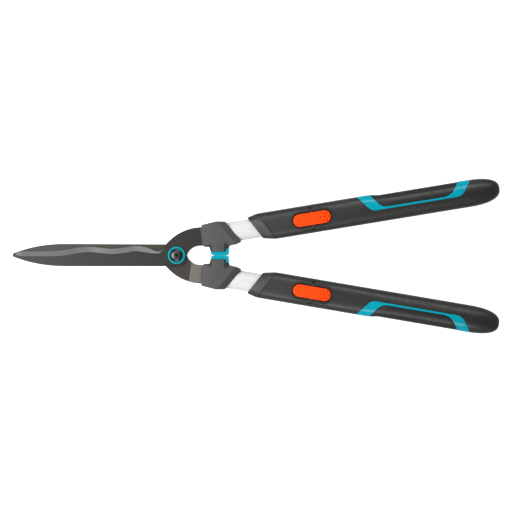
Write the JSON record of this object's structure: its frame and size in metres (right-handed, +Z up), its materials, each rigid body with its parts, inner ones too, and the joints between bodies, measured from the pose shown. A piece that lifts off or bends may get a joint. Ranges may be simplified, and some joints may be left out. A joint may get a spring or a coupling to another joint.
{
  "type": "hedge shears",
  "caption": "Two-handed bypass hedge shears with wavy blades, a centre pivot, rubber buffers and telescopic oval handles locked by rocker buttons.",
  "frame": {"origin": "on the pivot axis, at the flat outer face of the pivot nut, in the plane that the shears lie on", "axes": "+Z up along the pivot axis, from the nut to the bolt head; +X from the pivot towards the handles, with the blade points at -X; +Y towards the handle of the blade that lies on top"},
  "size_m": [0.6483, 0.2056, 0.032],
  "materials": {
    "coated_blade": "dark non-stick coating on steel, with a bare ground bevel",
    "bright_steel": "bright zinc plated",
    "black_steel": "polished black",
    "bronze": "oiled bearing bronze",
    "grey_plastic": "dark warm grey, finely textured moulding",
    "soft_black": "smooth soft-touch rubber",
    "turquoise_plastic": "satin turquoise moulding",
    "buffer_gel": "turquoise elastomer",
    "white_aluminium": "white satin coating on aluminium",
    "orange_plastic": "satin orange moulding",
    "white_plastic": "self-lubricating white plastic"
  },
  "bodies": {
    "upper_half": {"upper_blade": "coated_blade", "upper_knuckle": "grey_plastic", "upper_buffer": "buffer_gel", "upper_tang_screw_1": "bright_steel", "upper_tang_screw_2": "bright_steel", "upper_tube_screw": "bright_steel", "upper_tube": "white_aluminium", "upper_tube_guide": "white_plastic", "pivot_bolt": "black_steel", "pivot_ring": "turquoise_plastic", "pivot_bush": "bronze", "pivot_washer": "bright_steel", "pivot_nut": "black_steel"},
    "lower_half": {"lower_blade": "coated_blade", "lower_knuckle": "grey_plastic", "lower_buffer": "buffer_gel", "lower_tang_screw_1": "bright_steel", "lower_tang_screw_2": "bright_steel", "lower_tube_screw": "bright_steel", "lower_tube": "white_aluminium", "lower_tube_guide": "white_plastic"},
    "upper_grip": {"upper_collar": "grey_plastic", "upper_slide_bush": "white_plastic", "upper_bush_screw": "bright_steel", "upper_grip_body": "grey_plastic", "upper_inlay": "turquoise_plastic", "upper_thumb_pad": "soft_black", "upper_rocker_pin": "bright_steel"},
    "lower_grip": {"lower_collar": "grey_plastic", "lower_slide_bush": "white_plastic", "lower_bush_screw": "bright_steel", "lower_grip_body": "grey_plastic", "lower_inlay": "turquoise_plastic", "lower_thumb_pad": "soft_black", "lower_rocker_pin": "bright_steel"},
    "upper_lock": {"upper_rocker": "orange_plastic", "upper_rocker_spring": "bright_steel", "upper_lock_tooth": "bright_steel"},
    "lower_lock": {"lower_rocker": "orange_plastic", "lower_rocker_spring": "bright_steel", "lower_lock_tooth": "bright_steel"}
  },
  "joints": [
    {"name": "blade_pivot", "type": "hinge", "parent": "upper_half", "child": "lower_half", "pos_m": [0, 0, 0.015], "axis": [0, 0, -1], "range_deg": [0, 60]},
    {"name": "upper_telescope", "type": "slide", "parent": "upper_half", "child": "upper_grip", "axis": [0.9863, 0.165, 0], "range_m": [0, 0.25]},
    {"name": "lower_telescope", "type": "slide", "parent": "lower_half", "child": "lower_grip", "axis": [0.9863, -0.165, 0], "range_m": [0, 0.25]},
    {"name": "upper_rocker_press", "type": "hinge", "parent": "upper_grip", "child": "upper_lock", "pos_m": [0.18029, 0.04922, 0.0276], "axis": [-0.165, 0.9863, 0], "range_deg": [0, 6], "stiffness_Nm_per_rad": 1.2, "springref_deg": -3.44},
    {"name": "lower_rocker_press", "type": "hinge", "parent": "lower_grip", "child": "lower_lock", "pos_m": [0.18029, -0.04922, 0.0276], "axis": [0.165, 0.9863, 0], "range_deg": [0, 6], "stiffness_Nm_per_rad": 1.2, "springref_deg": -3.44}
  ]
}
